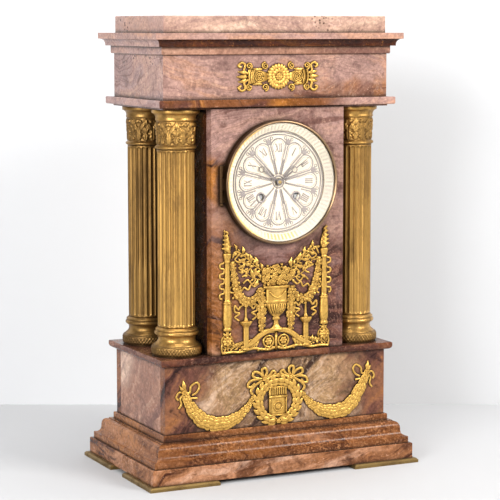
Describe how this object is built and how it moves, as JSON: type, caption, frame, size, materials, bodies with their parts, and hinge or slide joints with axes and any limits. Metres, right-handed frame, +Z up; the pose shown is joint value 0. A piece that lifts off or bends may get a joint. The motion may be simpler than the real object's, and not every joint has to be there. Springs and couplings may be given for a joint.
{
  "type": "portico mantel clock",
  "caption": "Portico mantel clock: banded onyx case and entablature on fluted gilt columns, round hinged bezel, silvered dial, relief mounts and a striking pendulum movement.",
  "frame": {"origin": "middle of the footprint, on the surface the feet rest on", "axes": "+Z up, +Y from the dial towards the back, +X to the right seen from the front"},
  "size_m": [0.314, 0.189, 0.48],
  "materials": {
    "onyx_pale": "polished",
    "onyx_brown": "polished",
    "antique_bronze": "satin",
    "gilt_bronze": "matte gilt",
    "foot_brass": "dull",
    "silvered_dial": "silvered",
    "glass": "clear",
    "blued_steel": "blued",
    "steel": "polished",
    "bell_metal": "polished",
    "movement_brass": "polished"
  },
  "bodies": {
    "case": {"plinth_slab": "onyx_brown", "base_moulding": "onyx_brown", "base_fillet": "onyx_brown", "pedestal_front": "onyx_pale", "pedestal_back": "onyx_pale", "pedestal_sides": "onyx_pale", "pedestal_top": "onyx_brown", "case_front": "onyx_pale", "case_back": "onyx_pale", "case_sides": "onyx_pale", "architrave": "onyx_brown", "frieze_panels": "onyx_pale", "cornice_bed": "onyx_pale", "cornice": "onyx_brown", "top_block": "onyx_pale", "corner_feet": "foot_brass", "column_bases": "antique_bronze", "column_shafts": "antique_bronze", "column_capitals": "antique_bronze", "column_tie_rods": "steel", "frieze_mount": "gilt_bronze", "urn_mount": "gilt_bronze", "wreath_mount": "gilt_bronze", "garland_mounts": "gilt_bronze", "bezel_seat": "gilt_bronze", "dial": "silvered_dial", "hinge_pins": "steel", "front_plate": "movement_brass", "back_plate": "movement_brass", "plate_pillars": "movement_brass", "bell": "bell_metal", "back_cock": "movement_brass", "mounting_straps": "steel", "back_bezel": "movement_brass"},
    "bezel": {"front_bezel": "gilt_bronze", "bezel_glass": "glass"},
    "back_door": {"back_door": "movement_brass"},
    "minute_set": {"minute_hand": "blued_steel", "cannon_pinion": "movement_brass"},
    "minute_wheel": {"minute_wheel": "movement_brass"},
    "hour_set": {"hour_hand": "blued_steel", "hour_wheel": "movement_brass"},
    "third_wheel": {"third_wheel": "movement_brass"},
    "centre_wheel": {"centre_wheel": "movement_brass"},
    "going_intermediate_wheel": {"going_intermediate_wheel": "movement_brass"},
    "going_barrel": {"going_barrel": "movement_brass"},
    "escape_wheel": {"escape_wheel": "movement_brass"},
    "going_winding_arbor": {"going_winding_arbor": "steel"},
    "pendulum": {"pendulum_rod": "steel", "pendulum_bob": "movement_brass"},
    "anchor": {"anchor": "steel"},
    "warning_wheel": {"warning_wheel": "movement_brass"},
    "stop_wheel": {"stop_wheel": "movement_brass"},
    "pin_wheel": {"pin_wheel": "movement_brass"},
    "strike_intermediate_wheel": {"strike_intermediate_wheel": "movement_brass", "count_wheel": "movement_brass"},
    "strike_barrel": {"strike_barrel": "movement_brass"},
    "fly": {"fly": "movement_brass"},
    "strike_winding_arbor": {"strike_winding_arbor": "steel"},
    "hammer": {"hammer": "steel"}
  },
  "joints": [
    {"name": "bezel_hinge", "type": "hinge", "parent": "case", "child": "bezel", "pos_m": [-0.067, -0.07135, 0.3085], "axis": [0, 0, -1], "range_deg": [0, 115]},
    {"name": "back_door_hinge", "type": "hinge", "parent": "case", "child": "back_door", "pos_m": [0.067, 0.06735, 0.3085], "axis": [0, 0, -1], "range_deg": [0, 115]},
    {"name": "minute_turn", "type": "hinge", "parent": "case", "child": "minute_set", "pos_m": [0, -0.07, 0.3085], "axis": [0, 1, 0], "continuous": true},
    {"name": "minute_wheel_turn", "type": "hinge", "parent": "case", "child": "minute_wheel", "pos_m": [0, -0.06, 0.2989], "axis": [0, 1, 0], "continuous": true},
    {"name": "hour_turn", "type": "hinge", "parent": "case", "child": "hour_set", "pos_m": [0, -0.0685, 0.3085], "axis": [0, 1, 0], "continuous": true},
    {"name": "third_wheel_turn", "type": "hinge", "parent": "case", "child": "third_wheel", "pos_m": [0.0029, -0.036, 0.32224], "axis": [0, 1, 0], "continuous": true},
    {"name": "centre_wheel_turn", "type": "hinge", "parent": "case", "child": "centre_wheel", "pos_m": [0, -0.036, 0.3085], "axis": [0, 1, 0], "continuous": true},
    {"name": "going_intermediate_turn", "type": "hinge", "parent": "case", "child": "going_intermediate_wheel", "pos_m": [0.01447, -0.036, 0.31179], "axis": [0, 1, 0], "continuous": true},
    {"name": "going_barrel_turn", "type": "hinge", "parent": "case", "child": "going_barrel", "pos_m": [0.0205, -0.042, 0.2929], "axis": [0, 1, 0], "continuous": true},
    {"name": "escape_wheel_turn", "type": "hinge", "parent": "case", "child": "escape_wheel", "pos_m": [0, -0.036, 0.3345], "axis": [0, 1, 0], "continuous": true},
    {"name": "going_winding", "type": "hinge", "parent": "case", "child": "going_winding_arbor", "pos_m": [0.0205, -0.04, 0.2929], "axis": [0, 1, 0], "range_deg": [0, 1980]},
    {"name": "pendulum_swing", "type": "hinge", "parent": "case", "child": "pendulum", "pos_m": [0, -0.0015, 0.347], "axis": [0, 1, 0], "range_deg": [-3, 3]},
    {"name": "anchor_rock", "type": "hinge", "parent": "case", "child": "anchor", "pos_m": [0, -0.03, 0.347], "axis": [0, 1, 0], "range_deg": [-3, 3]},
    {"name": "warning_wheel_turn", "type": "hinge", "parent": "case", "child": "warning_wheel", "pos_m": [-0.02048, -0.036, 0.33979], "axis": [0, 1, 0], "continuous": true},
    {"name": "stop_wheel_turn", "type": "hinge", "parent": "case", "child": "stop_wheel", "pos_m": [-0.01191, -0.036, 0.33484], "axis": [0, 1, 0], "continuous": true},
    {"name": "pin_wheel_turn", "type": "hinge", "parent": "case", "child": "pin_wheel", "pos_m": [-0.01955, -0.036, 0.32574], "axis": [0, 1, 0], "continuous": true},
    {"name": "strike_intermediate_turn", "type": "hinge", "parent": "case", "child": "strike_intermediate_wheel", "pos_m": [-0.01447, -0.036, 0.31179], "axis": [0, 1, 0], "continuous": true},
    {"name": "strike_barrel_turn", "type": "hinge", "parent": "case", "child": "strike_barrel", "pos_m": [-0.0205, -0.042, 0.2929], "axis": [0, 1, 0], "continuous": true},
    {"name": "fly_turn", "type": "hinge", "parent": "case", "child": "fly", "pos_m": [-0.01598, -0.036, 0.34758], "axis": [0, 1, 0], "continuous": true},
    {"name": "strike_winding", "type": "hinge", "parent": "case", "child": "strike_winding_arbor", "pos_m": [-0.0205, -0.04, 0.2929], "axis": [0, 1, 0], "range_deg": [0, 1980]},
    {"name": "hammer_swing", "type": "hinge", "parent": "case", "child": "hammer", "pos_m": [-0.038, -0.02, 0.323], "axis": [0, 1, 0], "range_deg": [-25, 5], "stiffness_Nm_per_rad": 0.02}
  ],
  "couplings": [
    {"joint": "minute_wheel_turn", "follows": "minute_turn", "ratio": -0.33333},
    {"joint": "hour_turn", "follows": "minute_turn", "ratio": 0.083333},
    {"joint": "centre_wheel_turn", "follows": "third_wheel_turn", "ratio": -0.083333},
    {"joint": "going_intermediate_turn", "follows": "third_wheel_turn", "ratio": 0.013889},
    {"joint": "going_barrel_turn", "follows": "third_wheel_turn", "ratio": -0.0018519},
    {"joint": "escape_wheel_turn", "follows": "third_wheel_turn", "ratio": -13},
    {"joint": "anchor_rock", "follows": "pendulum_swing", "ratio": 1},
    {"joint": "stop_wheel_turn", "follows": "warning_wheel_turn", "ratio": -0.1},
    {"joint": "pin_wheel_turn", "follows": "warning_wheel_turn", "ratio": 0.01},
    {"joint": "strike_intermediate_turn", "follows": "warning_wheel_turn", "ratio": -0.0016667},
    {"joint": "strike_barrel_turn", "follows": "warning_wheel_turn", "ratio": 0.00022222},
    {"joint": "fly_turn", "follows": "warning_wheel_turn", "ratio": -9}
  ]
}
